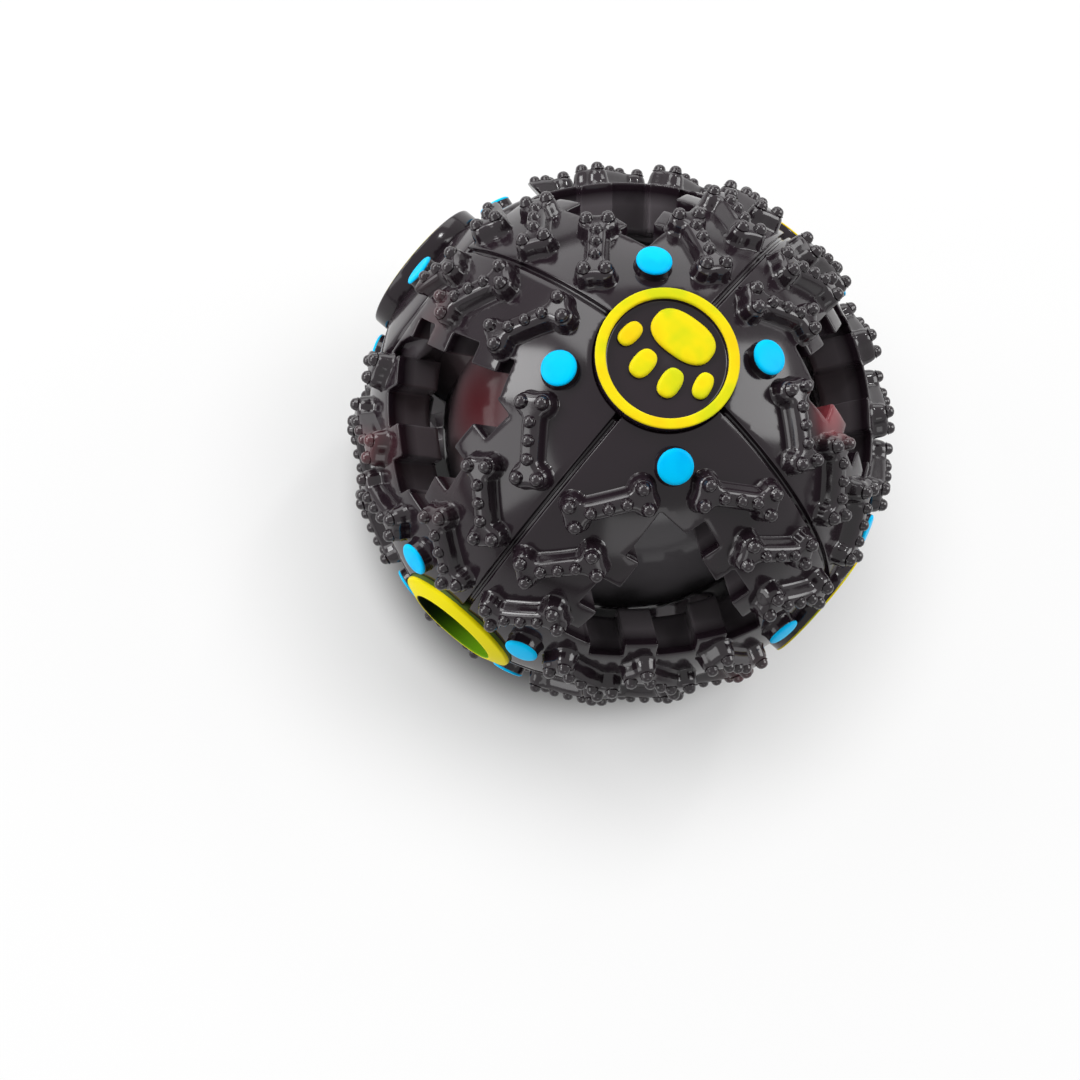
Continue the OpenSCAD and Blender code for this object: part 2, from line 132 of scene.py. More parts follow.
def table_material():
    """White paper with a painted shadow: its colour grows dark under the ball. Away from it, most
    of what the camera sees is the paper's own white, so the shadow on it is soft."""
    material = new_material("white_table")
    where = shader(material, "ShaderNodeTexCoord", (-1100, 0))
    split = shader(material, "ShaderNodeSeparateXYZ", (-900, 0), {0: where.outputs["Object"]})
    flat_place = shader(material, "ShaderNodeCombineXYZ", (-700, 0),
                        {"X": split.outputs["X"], "Y": split.outputs["Y"]})
    away = shader(material, "ShaderNodeVectorMath", (-500, 0), {0: flat_place},
                  operation="LENGTH").outputs["Value"]
    under = faded(material, (-300, 0), away, *shadow_r)
    beside = faded(material, (-300, 300), away, *glow_r, most_glow)
    # Painted shadow: the paper's colour is near black under the ball and pale grey beyond it.
    painted_shading = ramp(material, (-100, 0), under, (0, (0.04, 0.04, 0.04)), (1, (0.80, 0.80, 0.80)))
    path = shader(material, "ShaderNodeLightPath", (-300, 600))
    share = shader(material, "ShaderNodeMath", (0, 300),
                   {0: path.outputs["Is Camera Ray"], 1: beside}, operation="MULTIPLY")
    paper = shader(material, "ShaderNodeBsdfDiffuse", (200, 0), {"Color": painted_shading})
    glow = shader(material, "ShaderNodeEmission", (200, -200), {"Strength": 1.0})
    mix = shader(material, "ShaderNodeMixShader", (400, 0), {0: share, 1: paper, 2: glow})
    shader(material, "ShaderNodeOutputMaterial", (600, 0), {"Surface": mix})
    return material


table_mesh = bpy.data.meshes.new("table")
table_mesh.from_pydata(
    [(-table_half, -table_half, floor_z), (table_half, -table_half, floor_z),
     (table_half, table_half, floor_z), (-table_half, table_half, floor_z)], [], [(0, 1, 2, 3)])
table_mesh.materials.append(table_material())
table = bpy.data.objects.new("table", table_mesh)
bpy.context.scene.collection.objects.link(table)

world = bpy.data.worlds.new("room")
bpy.context.scene.world = world
world.use_nodes = True
world.node_tree.nodes.clear()
room_path = shader(world, "ShaderNodeLightPath", (-200, 200))
room_seen = shader(world, "ShaderNodeMath", (0, 200),
                   {0: room_path.outputs["Is Camera Ray"], 1: room_path.outputs["Is Glossy Ray"]},
                   operation="MAXIMUM")
room_shown = shader(world, "ShaderNodeMath", (200, 200),
                    {0: room_seen, 1: room_path.outputs["Is Transmission Ray"]},
                    operation="MAXIMUM")
room_fill = shader(world, "ShaderNodeBackground", (200, 0), {"Strength": 0.24})
room_white = shader(world, "ShaderNodeBackground", (200, -200), {"Strength": 1.0})
room_mix = shader(world, "ShaderNodeMixShader", (400, 0),
                  {0: room_shown, 1: room_fill, 2: room_white})
shader(world, "ShaderNodeOutputWorld", (600, 0), {"Surface": room_mix})


def lamp(name, right, up, back, wide, high, power):
    """A soft oblong lamp that faces the ball, placed by its distances along the picture's
    right, up and back."""
    data = bpy.data.lights.new(name, "AREA")
    data.shape = "RECTANGLE"
    data.size = wide
    data.size_y = high
    data.energy = power
    place = picture_right * right + picture_up * up + picture_back * back
    lamp_object = bpy.data.objects.new(name, data)
    lamp_object.location = place
    lamp_object.rotation_euler = place.to_track_quat("Z", "Y").to_euler()
    bpy.context.scene.collection.objects.link(lamp_object)


lamp("key_lamp", -0.35, 0.70, 0.62, 0.5, 0.5, 3.8)
lamp("second_lamp", 0.42, 0.70, 0.58, 0.08, 0.12, 1.1)
lamp("left_softbox", -0.80, 0.36, 0.58, 0.34, 0.40, 4.5)
lamp("low_softbox", -0.80, -0.15, 0.50, 0.5, 0.6, 2.7)
lamp("front_softbox", 0.20, -0.78, 0.60, 0.6, 0.3, 0.8)
lamp("right_softbox", 0.90, 0.26, 0.42, 0.55, 0.70, 6.5)
lamp("top_softbox", 0.0, 1.0, 0.12, 1.2, 0.5, 4.0)


# Outer ball, panels
# Eight soft vinyl panels, moulded as two halves and bonded in the groove between them. Each has
# a castellated three-sided window, and its edges are rounded by the mould.
panel_r = 62 * mm
set_back = 8 * mm
hollow_r = 44 * mm
groove_half = 0.65 * mm
groove_depth = 1.2 * mm
groove_edge = 0.3 * mm
tooth_reach = 11.2 * mm
notch_depth = 4.2 * mm
corner_notch_depth = 3.2 * mm
corner_reach = 25.2 * mm
tooth_shares = np.array([-0.74, -0.40, 0.015, 0.37, 0.72])
corner_end_share = 0.885
window_edge = 0.4 * mm
window_corner = 0.5 * mm
tip_depth = 2.1 * mm
tip_share = 0.94
seat_r = 13.95 * mm
seat_edge = 0.3 * mm
cap_hole_r = 28.1 * mm
cap_hole_edge = 0.5 * mm
ledge_x = 41 * mm
ledge_r = 20.5 * mm
cap_wall = 0.3 * mm
weld_gap = 0.001 * mm
skin_step = 1.15 * mm
skin_clear = 0.65 * skin_step
groove_columns = 72
seat_columns = 24
cap_hole_columns = 40
wall_steps = 6
window_steps = 8
lining_plain_r = 24 * mm
lining_blend = 18 * mm
# Depths below the panels' skin over which the vinyl's colour turns to its painted sheen grey.
painted_sheen_start = 1.7 * mm
painted_sheen_end = 4.5 * mm
side_angles = np.radians([270, 30, 150])
octant = np.array(
    Matrix.Rotation(np.radians(45), 3, "Z")
    @ Matrix.Rotation(np.arccos(1 / np.sqrt(3)), 3, "Y")
    @ Matrix.Rotation(np.radians(90), 3, "Z"))


def lay_mesh(name, points, faces, material, body, slot):
    """Puts an array of points and lists of faces into a new object that rides on a body. Points
    that coincide at a seam or a pole become one."""
    mesh = bpy.data.meshes.new(name)
    mesh.from_pydata(points, [], [f for part in faces for f in part.tolist()])
    welded = bmesh.new()
    welded.from_mesh(mesh)
    bmesh.ops.remove_doubles(welded, verts=welded.verts, dist=weld_gap)
    welded.to_mesh(mesh)
    welded.free()
    mesh.polygons.foreach_set("use_smooth", np.full(len(mesh.polygons), True))
    mesh.materials.append(material)
    piece = bpy.data.objects.new(name, mesh)
    bpy.context.scene.collection.objects.link(piece)
    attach(piece, body)
    return piece


def band_faces(rows, columns, first=0):
    """Four-cornered faces between the rows of a grid of points that closes round, row by row."""
    column = np.arange(columns)
    beside = (column + 1) % columns
    row = first + columns * np.arange(rows - 1)[:, None]
    return np.stack([row + column, row + beside, row + columns + beside, row + columns + column],
                    -1).reshape(-1, 4)


def together(shapes):
    """Several shapes as one: their points one after the other, with their faces renumbered."""
    starts = np.cumsum([0] + [len(points) for points, _ in shapes])
    return (np.vstack([points for points, _ in shapes]),
            [part + start for (_, parts), start in zip(shapes, starts) for part in parts])


def side_point(angle, out, along):
    """Flat place: out from the window's centre along the angle, and along its side."""
    return [out * np.cos(angle) - along * np.sin(angle),
            out * np.sin(angle) + along * np.cos(angle)]


def corner_cross(angle, along, way):
    """Where the end of a corner notch meets the tooth line of the side next to it."""
    return side_point(angle, 2 * (way * along * np.sin(np.radians(120)) - tooth_reach), along)


def window_corners(leans):
    """Corner points of a window, side by side: notch floors and tooth tips in turn, then the
    corner between two sides, which is an arrowhead, a short notch or, where neither side has a
    notch at its end, a tip that the last notch before it runs out to."""
    half = tooth_reach * np.sqrt(3)
    end = corner_end_share * half
    points = []
    for i in range(3):
        angle, lean, next_lean = side_angles[i], leans[i], leans[(i + 1) % 3]
        edges = tooth_shares if lean > 0 else -tooth_shares[::-1]
        to_tip = lean > 0 and next_lean < 0
        last = 2 * len(edges) - (3 if to_tip else 1)
        for k in range(last + 1):
            at_corner = k == (0 if lean > 0 else last) or to_tip and k == last
            deep = (k // 2 + k % 2) % 2 == (0 if lean > 0 else 1)
            depth = corner_notch_depth if at_corner else notch_depth if deep else 0
            points.append(side_point(angle, tooth_reach + depth, edges[k // 2] * half))
        before, after = lean < 0, next_lean > 0
        turn = angle + np.radians(60)
        following = angle + np.radians(120)
        if before and after:
            points.append([corner_reach * np.cos(turn), corner_reach * np.sin(turn)])
        elif before:
            points += [side_point(angle, tooth_reach + corner_notch_depth, end),
                       corner_cross(angle, end, 1)]
        elif after:
            points += [corner_cross(following, -end, -1),
                       side_point(following, tooth_reach + corner_notch_depth, -end)]
        else:
            points.append(side_point(angle, tooth_reach + tip_depth, tip_share * half))
    return np.array(points)


def rounded(corners, radius, steps=6, spacing=0.8 * mm, edge_share=0.98):
    """A closed outline with its corners turned into arcs: each arc touches both edges at the
    radius over the tangent of half the corner, and less where an edge is too short for it.
    Gives points and outward unit normals, with the straight stretches divided evenly."""
    before = corners - np.roll(corners, 1, 0)
    after = np.roll(corners, -1, 0) - corners
    length = np.hypot(*after.T)
    u0 = before / np.hypot(*before.T)[:, None]
    u1 = after / length[:, None]
    bend = np.arctan2(u0[:, 0] * u1[:, 1] - u0[:, 1] * u1[:, 0], (u0 * u1).sum(1))
    way = np.sign(bend)
    wish = radius * np.tan(np.abs(bend) / 2)
    room = edge_share * length / (wish + np.roll(wish, -1))
    reach = wish * np.minimum(np.minimum(room, np.roll(room, 1)), 1)
    radii = reach / np.tan(np.abs(bend) / 2)
    left = np.stack([-u0[:, 1], u0[:, 0]], 1)
    centre = corners - u0 * reach[:, None] + left * (way * radii)[:, None]
    start = np.arctan2(*(-left * way[:, None]).T[::-1])
    angle = start[:, None] + bend[:, None] * np.linspace(0, 1, steps)
    ray = np.stack([np.cos(angle), np.sin(angle)], -1)
    points = (centre[:, None] + radii[:, None, None] * ray).reshape(-1, 2)
    normals = (ray * way[:, None, None]).reshape(-1, 2)
    points = np.vstack([points, points[:1]])
    normals = np.vstack([normals, normals[:1]])
    travel = np.concatenate([[0], np.cumsum(np.hypot(*np.diff(points, axis=0).T))])
    gap = np.diff(travel)
    pieces = np.maximum(np.round(gap / spacing).astype(int), 1)
    stretch = np.repeat(np.arange(len(gap)), pieces)
    place = np.arange(len(stretch)) - np.repeat(np.cumsum(pieces) - pieces, pieces)
    places = travel[stretch] + gap[stretch] * place / pieces[stretch]
    fine = [np.interp(places, travel, column) for column in (*points.T, *normals.T)]
    normals = np.stack(fine[2:], 1)
    return np.stack(fine[:2], 1), normals / np.hypot(*normals.T)[:, None]


def inside(points, outline):
    """Which flat points lie inside a closed outline, by counting the edges to their right."""
    a, b = outline, np.roll(outline, -1, 0)
    x, y = points[:, :1], points[:, 1:]
    spans = (a[:, 1] > y) != (b[:, 1] > y)
    rise = np.where(b[:, 1] == a[:, 1], 1, b[:, 1] - a[:, 1])
    cross = (b[:, 0] - a[:, 0]) * (y - a[:, 1]) / rise + a[:, 0]
    return (spans & (x < cross)).sum(1) % 2 == 1


def flat(points):
    """Panel points unrolled onto a plane: distance along the panel from its middle, and turn."""
    out = points + [0, 0, set_back]
    lean = np.arctan2(np.hypot(out[:, 0], out[:, 1]), out[:, 2])
    turn = np.arctan2(out[:, 1], out[:, 0])
    return panel_r * lean[:, None] * np.stack([np.cos(turn), np.sin(turn)], 1)


def on_panel(places):
    """The reverse of flat: places on the plane back onto the panel."""
    reach = np.maximum(np.hypot(*places.T), 1e-9)
    lean = reach / panel_r
    side = places * (panel_r * np.sin(lean) / reach)[:, None]
    return np.column_stack([side, panel_r * np.cos(lean) - set_back])


def below(plan, depth):
    """Points of the panel over a flat plan seen straight on, at depths below its surface."""
    return np.column_stack([plan, np.sqrt((panel_r - depth) ** 2 - (plan ** 2).sum(1)) - set_back])


def groove_line(plane, first, second, turn, distance, depth):
    """Points beside a groove: at a distance from its plane and a depth below the panel, where a
    ray from the ball's middle at each turn meets the panel's sphere."""
    axes = np.eye(3)
    ray = np.cos(turn)[:, None] * axes[first] + np.sin(turn)[:, None] * axes[second]
    b = set_back * (np.cos(turn) + np.sin(turn)) / np.sqrt(3)
    c = (distance ** 2 + 2 * set_back * distance / np.sqrt(3) + set_back ** 2
         - (panel_r - depth) ** 2)
    return distance * axes[plane] + (np.sqrt(b ** 2 - c) - b)[:, None] * ray


def round_seat(axis, first, second, turn, radius, depth):
    """Points round a medallion's axis at a radius, a depth below the panel's sphere."""
    axes = np.eye(3)
    ray = np.cos(turn)[:, None] * axes[first] + np.sin(turn)[:, None] * axes[second]
    b = set_back / np.sqrt(3)
    c = (radius ** 2 + set_back ** 2 - (panel_r - depth) ** 2
         + 2 * set_back * radius * (np.cos(turn) + np.sin(turn)) / np.sqrt(3))
    return radius * ray + (np.sqrt(b ** 2 - c) - b)[:, None] * axes[axis]


# A rounded edge, row by row: how far out and how far down, as shares of its radius
edge_turns = np.radians([0, 30, 60, 90])
rounding = np.stack([1 - np.sin(edge_turns), 1 - np.cos(edge_turns)], 1)


def panel_rim(signs):
    """The edge of a panel as rows of points, from its outer skin down to the hollow. Along a
    groove the rows round over, go down to its floor and then in along its middle. Round a
    medallion they go straight in, and round the cap they step in along its ledge."""
    beside = np.concatenate([groove_half + groove_edge * rounding[:, 0],
                             groove_half * np.array([0.95, 0.75, 0.45, 0, 0, 0])])
    under = np.concatenate([groove_edge * rounding[:, 1],
                            groove_depth * np.array([0.8, 0.95, 1, 1])])
    rows = []
    for k in range(3):
        first, second = (k + 1) % 3, (k + 2) % 3
        is_cap = [a == 0 and signs[0] < 0 for a in (first, second)]
        radius = [cap_hole_r if cap else seat_r for cap in is_cap]
        edge = [cap_hole_edge if cap else seat_edge for cap in is_cap]
        ends = [round_seat(a, c, k, np.arcsin(beside[:1] / (r + e)), r + e, 0)[0]
                for a, c, r, e in zip((first, second), (second, first), radius, edge)]
        start, end = [np.arctan2(point[second], point[first]) for point in ends]
        turn = np.linspace(start, end, groove_columns + 2)[1:-1]
        lines = [groove_line(k, first, second, turn, d, t) for d, t in zip(beside, under)]
        foot = hollow_r * lines[-1] / np.linalg.norm(lines[-1], axis=1)[:, None]
        lines += [(lines[-1] + foot) / 2, foot]
        rows.append(np.stack(lines))
        radius, edge, is_cap = radius[1], edge[1], is_cap[1]
        out = np.append(rounding[:, 0], np.zeros(wall_steps)) * edge + radius
        down = np.append(rounding[:, 1], np.ones(wall_steps)) * edge
        slip = np.arcsin(beside / out)
        spread = np.linspace(0, 1, cap_hole_columns if is_cap else seat_columns)
        lines = [round_seat(second, first, k, s + (np.pi / 2 - 2 * s) * spread, r, t)
                 for s, r, t in zip(slip, out, down)]
        for step, share in enumerate(np.linspace(0, 1, wall_steps + 1)[1:]):
            row = len(rounding) + step
            top = lines[row]
            if is_cap:
                floor = top.copy()
                floor[:, second] = ledge_x
                inner = floor.copy()
                inner[:, [k, first]] *= ledge_r / cap_hole_r
                foot = inner.copy()
                foot[:, second] = np.sqrt(hollow_r ** 2 - ledge_r ** 2)
                lines[row] = [(2 * top + floor) / 3, (top + 2 * floor) / 3, floor, inner,
                              (inner + foot) / 2, foot][step]
            else:
                foot = hollow_r * top / np.linalg.norm(top, axis=1)[:, None]
                lines[row] = top + (foot - top) * share
        rows.append(np.stack(lines))
    return np.concatenate(rows, 1) @ octant


def skin_triangles(rim, hole):
    """A triangulated sheet between two flat outlines: rows of points in a honeycomb, kept clear
    of both, and joined by a Delaunay mesh that keeps the outlines as edges."""
    low, high = rim.min(0), rim.max(0)
    across = np.arange(low[0], high[0], skin_step)
    up = np.arange(low[1], high[1], skin_step * np.sqrt(3) / 2)
    x, y = np.meshgrid(across, up)
    x = x + (np.arange(len(up)) % 2)[:, None] * skin_step / 2
    comb = np.stack([x.ravel(), y.ravel()], 1)
    comb = comb[inside(comb, rim) & ~inside(comb, hole)]
    edges = np.vstack([rim, hole])
    nearest = np.min(np.hypot(comb[:, None, 0] - edges[:, 0], comb[:, None, 1] - edges[:, 1]), 1)
    comb = comb[nearest > skin_clear]
    places = np.vstack([rim, hole, comb])
    ends = [np.arange(len(rim)), np.arange(len(rim), len(rim) + len(hole))]
    loops = [np.stack([e, np.roll(e, -1)], 1) for e in ends]
    scaled = [Vector(p) for p in (places / mm).tolist()]
    found = delaunay_2d_cdt(scaled, np.vstack(loops).tolist(), [], 0, 1e-6)
    source = np.array([origin[0] for origin in found[3]])
    triangles = source[np.array(found[2])]
    middle = places[triangles].mean(1)
    triangles = triangles[inside(middle, rim) & ~inside(middle, hole)]
    a, b, c = places[triangles].transpose(1, 0, 2)
    clockwise = ((b[:, 0] - a[:, 0]) * (c[:, 1] - a[:, 1])
                 < (b[:, 1] - a[:, 1]) * (c[:, 0] - a[:, 0]))
    triangles[clockwise] = triangles[clockwise][:, ::-1]
    return places, triangles


def clear_of_cap(outline, normals):
    """Where a window's corner would run into the cap's hole, its points are pushed out from the
    cap's axis to a thin wall's distance, in five steps along the panel, and their normals
    point to that axis."""
    least = cap_hole_r + cap_hole_edge + window_edge + cap_wall
    pushed = np.zeros(len(outline), bool)
    for _ in range(5):
        points = below(outline, 0) @ octant.T
        push = least / np.hypot(points[:, 1], points[:, 2])
        pushed |= push > 1
        points[:, 1:] *= np.maximum(push, 1)[:, None]
        outline = (points @ octant)[:, :2]
    inward = -(points * [0, 1, 1] @ octant)[:, :2]
    inward /= np.hypot(*inward.T)[:, None]
    return outline, np.where(pushed[:, None], inward, normals)


def panel_shape(signs):
    """One panel: the rim's rows, the window's rows from its rounded edge down its wall, and an
    outer and an inner skin between their ends. Faces point outwards."""
    leans = [-signs[1], -signs[1], -signs[0] * signs[2]]
    rim = panel_rim(signs)
    outline, normals = rounded(window_corners(leans), window_corner)
    if signs[0] < 0:
        outline, normals = clear_of_cap(outline, normals)
    wall = [below(outline + window_edge * d * normals, window_edge * t) for d, t in rounding]
    foot = np.column_stack([outline, np.sqrt(hollow_r ** 2 - (outline ** 2).sum(1))])
    shares = np.linspace(0, 1, window_steps + 1)[1:]
    wall += [wall[-1] + (foot - wall[-1]) * share for share in shares]
    wall = np.stack(wall)
    places, triangles = skin_triangles(flat(rim[0]), flat(wall[0]))
    skin = on_panel(places)
    n_rim, n_wall = rim.shape[1], wall.shape[1]
    comb = skin[n_rim + n_wall:]
    reach = np.hypot(comb[:, 0], comb[:, 1])
    mix = np.clip((reach - lining_plain_r) / lining_blend, 0, 1)
    mix = mix * mix * (3 - 2 * mix)
    centred = hollow_r * comb / np.linalg.norm(comb, axis=1)[:, None]
    plan = comb[:, :2] * (1 - mix)[:, None] + centred[:, :2] * mix[:, None]
    lining = np.column_stack([plan, np.sqrt(hollow_r ** 2 - (plan ** 2).sum(1))])
    points = np.vstack([rim.reshape(-1, 3), wall.reshape(-1, 3), comb, lining])
    n_rows, n_walls = len(rim), len(wall)
    wall_start = n_rows * n_rim
    comb_start = wall_start + n_walls * n_wall
    lining_start = comb_start + len(comb)
    outer = np.concatenate([np.arange(n_rim), wall_start + np.arange(n_wall),
                            comb_start + np.arange(len(comb))])
    inner = np.concatenate([(n_rows - 1) * n_rim + np.arange(n_rim),
                            wall_start + (n_walls - 1) * n_wall + np.arange(n_wall),
                            lining_start + np.arange(len(comb))])
    faces = [outer[triangles], inner[triangles][:, ::-1],
             band_faces(n_rows, n_rim)[:, ::-1],
             band_faces(n_walls, n_wall, first=wall_start)]
    points = (points @ octant.T) * signs
    if np.prod(signs) < 0:
        faces = [part[:, ::-1] for part in faces]
    return points, faces


def waves(material, where, scale, strength, depth=0.3 * mm, detail=2):
    """Waves or grain for a shader's normal: a bump that follows a noise."""
    grain = shader(material, "ShaderNodeTexNoise", (-500, -600),
                   {"Vector": where.outputs["Object"], "Scale": scale, "Detail": detail})
    return shader(material, "ShaderNodeBump", (0, -200),
                  {"Height": grain.outputs["Fac"], "Strength": strength, "Distance": depth})


def skinned(material, colour, normal, values):
    """The material with its one shader, which takes the colour, the normal and the values."""
    skin = shader(material, "ShaderNodeBsdfPrincipled", (300, 0),
                  {"Base Color": colour, "Normal": normal, **values})
    shader(material, "ShaderNodeOutputMaterial", (600, 0), {"Surface": skin})
    return material


def black_vinyl(name, painted_red_light_places, painted_red, black, deep, gloss, wave):
    """Glossy black vinyl as it leaves the mould, with a painted sheen: lighter grey deep in the
    windows than on the panels' skin. Its waves grow finer and stronger with the wave number. Where
    light gets through it there is a soft red cloud of painted light: each has a place, a reach and
    a strength, and fades outwards."""
    material = new_material(name)
    where = shader(material, "ShaderNodeTexCoord", (-1300, 0))
    glow = None
    # Soft red clouds of painted light, where light gets through the vinyl.
    for number, (place, reach, strength) in enumerate(painted_red_light_places):
        away = shader(material, "ShaderNodeVectorMath", (-1000, 200 * number),
                      {0: where.outputs["Object"], 1: Vector(place) * mm}, operation="DISTANCE")
        fade = faded(material, (-800, 200 * number), away.outputs["Value"], reach * mm, 0,
                     strength)
        glow = shader(material, "ShaderNodeMath", (-600, 200 * number), {0: glow, 1: fade},
                      operation="MAXIMUM") if glow else fade
    folded = shader(material, "ShaderNodeVectorMath", (-1100, -300),
                    {0: where.outputs["Object"]}, operation="ABSOLUTE")
    moved = shader(material, "ShaderNodeVectorMath", (-900, -300),
                   {0: folded, 1: Vector((1, 1, 1)) * set_back / 3 ** 0.5})
    height = shader(material, "ShaderNodeVectorMath", (-700, -300), {0: moved},
                    operation="LENGTH")
    # Painted sheen: the colour turns from black to a lighter grey deeper in the windows, on their
    # walls.
    depth = shader(material, "ShaderNodeMapRange", (-500, -300),
                   {"Value": height.outputs["Value"], "From Min": panel_r - painted_sheen_start,
                    "From Max": panel_r - painted_sheen_end})
    painted_shading = ramp(material, (-300, 0), depth, (0, black), (1, deep))
    cloud = shader(material, "ShaderNodeMix", (0, 200), {"Factor": glow, 6: painted_shading, 7: (*painted_red, 1)},
                   data_type="RGBA")
    return skinned(
        material, cloud.outputs[2],
        waves(material, where, 60 + 240 * wave, 0.14 + 0.4 * wave, detail=3),
        {"Roughness": 0.13, "Specular IOR Level": gloss})


# Places, reaches and strengths of the painted red light on the ball's vinyl.
painted_red_light_places = [((-41, -48, 21), 16, 0.55), ((-49, -20, 35), 13, 0.35), ((-22, -49, 38), 15, 0.12),
              ((31, 19, 40), 9, 0.9), ((43, 35, 35), 12, 0.3), ((61, -22, -2), 16, 0.3)]
vinyl_painted_red = (0.26, 0.045, 0.055)
vinyl_black = (0.015, 0.009, 0.013)
# A lighter grey deep in the windows: a painted sheen on their walls.
vinyl_painted_sheen = (0.13, 0.115, 0.125)
vinyl = black_vinyl("black_vinyl", painted_red_light_places, vinyl_painted_red, vinyl_black, vinyl_painted_sheen, 0.36, 0)
all_signs = np.array([(x, y, z) for z in (1, -1) for y in (1, -1) for x in (1, -1)])
for z, name in ((1, "shell_upper_skin"), (-1, "shell_lower_skin")):
    shapes = [panel_shape(s) for s in all_signs if s[2] == z]
    shell = lay_mesh(name, *together(shapes), vinyl, "ball", "shell")
    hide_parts("outer_shell_upper" if z > 0 else "outer_shell_lower")


# Bones and beads
# Nine bones stand on each panel, three on either side of every groove, with seven round beads
# on each. They are moulded with the panel, and those in the way of the cap end at its hole.
bone_length = 18.5 * mm
bone_end_w = 8.2 * mm
bone_shaft_w = 4.3 * mm
bone_rise = 3.3 * mm
bone_lean = 43
bone_along = [0.277, -0.025, -0.325]
bone_out = [0.428, 0.444, 0.410]
lobe_r = 0.30 * bone_end_w
lobe_x = bone_length / 2 - lobe_r
lobe_y = bone_end_w / 2 - lobe_r
lobe_points = 24
bone_columns = 96
bone_wall = np.array([(0.8, -0.3), (0.42, 0.02), (0.16, 0.35), (-0.02, 1.0), (-0.2, 1.9),
                      (-0.42, 2.55), (-0.72, 3.0), (-1.1, 3.25)]) * mm
bead_columns = 12
bead_dome = np.array([(0, -0.1), (1.22, -0.1), (1.04, 0.1), (0.97, 0.45), (0.78, 0.82),
                      (0.43, 1.06), (0, 1.14)])
bead_places = np.array([(-6.9, -2), (-6.9, 2), (6.9, -2), (6.9, 2), (-3.4, 0), (0, 0),
                        (3.4, 0)]) * mm
bead_r = np.array([1.25, 1.25, 1.25, 1.25, 1.1, 1.1, 1.1]) * mm
bone_clear = 0.2 * mm
least_bone = 2.5 * mm
bone_vinyl = black_vinyl("bone_vinyl", painted_red_light_places, vinyl_painted_red, vinyl_black, vinyl_black, 0.52, 0.2)


def turned(degrees, axis):
    """The matrix of a turn about an axis."""
    return np.array(Matrix.Rotation(np.radians(degrees), 3, axis))


def circle(columns):
    """Unit directions spread evenly round a circle."""
    angle = 2 * np.pi * np.arange(columns) / columns
    return np.stack([np.cos(angle), np.sin(angle)], 1)


def outward(line):
    """Unit normals of a closed flat line, square to the run between each point's neighbours."""
    run = np.roll(line, -1, 0) - np.roll(line, 1, 0)
    return np.stack([run[:, 1], -run[:, 0]], 1) / np.hypot(*run.T)[:, None]


def lifted(rows, heights):
    """The points of flat rows, each row at its height."""
    heights = np.broadcast_to(np.reshape(heights, (-1, 1, 1)), rows.shape[:2] + (1,))
    return np.concatenate([rows, heights], -1).reshape(-1, 3)


def lathe(profile, columns, turn=np.eye(3)):
    """A profile of radius and height turned about Z, and then moved by the turn's matrix."""
    points = lifted(profile[:, :1, None] * circle(columns), profile[:, 1])
    return points @ turn.T, [band_faces(len(profile), columns)]


def bone_template():
    """A bone laid flat. Its outline is two round lobes at each end and a straight shaft, with
    its points spread evenly and each averaged with its neighbours. The wall's rows step in from
    it as they rise, and top and foot close onto the line between the lobes."""
    def lobe(x, y, start, end):
        """An arc of a lobe at a flat place, between two turns."""
        turn = np.radians(np.linspace(start, end, lobe_points))
        return np.stack([x + lobe_r * np.cos(turn), y + lobe_r * np.sin(turn)], 1)

    shaft_x = lobe_x - lobe_r
    half_shaft = np.array([[shaft_x, bone_shaft_w / 2], [-shaft_x, bone_shaft_w / 2]])
    start = [[0, -bone_shaft_w / 2]]
    line = np.vstack([
        start, -half_shaft[1:], lobe(lobe_x, -lobe_y, -150, 25), lobe(lobe_x, lobe_y, -25, 150),
        half_shaft, lobe(-lobe_x, lobe_y, 30, 205), lobe(-lobe_x, -lobe_y, 155, 330),
        -half_shaft[:1], start])
    travel = np.concatenate([[0], np.cumsum(np.hypot(*np.diff(line, axis=0).T))])
    places = np.linspace(0, travel[-1], bone_columns, endpoint=False)
    line = np.stack([np.interp(places, travel, column) for column in line.T], 1)
    line = sum(w * np.roll(line, n, 0) for n, w in ((-1, 0.25), (0, 0.5), (1, 0.25)))
    rows = line + bone_wall[:, :1, None] * outward(line)
    spine = np.stack([np.clip(line[:, 0], -lobe_x, lobe_x), np.zeros(len(line))], 1)
    rows = np.concatenate([[spine], rows, [(rows[-1] + spine) / 2, spine]])
    heights = [bone_wall[0, 1], *bone_wall[:, 1], bone_rise, bone_rise]
    return lifted(rows, heights), band_faces(len(rows), bone_columns)


def bead_template(place, radius):
    """A bead on a bone: rings round its place, as wide and as high as its dome says."""
    points, faces = lathe(radius * bead_dome + [0, bone_rise], bead_columns)
    return points + [*place, 0], faces[0]


def raised(template, turn):
    """Wraps a flat template round the panel's sphere: a point at some distance from the
    template's middle lies at that distance over the radius as an angle, in the same direction,
    and its height is added to the radius. The turn then takes it to its place."""
    reach = np.maximum(np.hypot(template[:, 0], template[:, 1]), 1e-9)
    radius = panel_r + template[:, 2]
    side = template[:, :2] * (radius * np.sin(reach / panel_r) / reach)[:, None]
    wrapped = np.column_stack([side, radius * np.cos(reach / panel_r)])
    return wrapped @ turn.T - [0, 0, set_back]


bone_parts = [bone_template()] + [bead_template(p, r) for p, r in zip(bead_places, bead_r)]


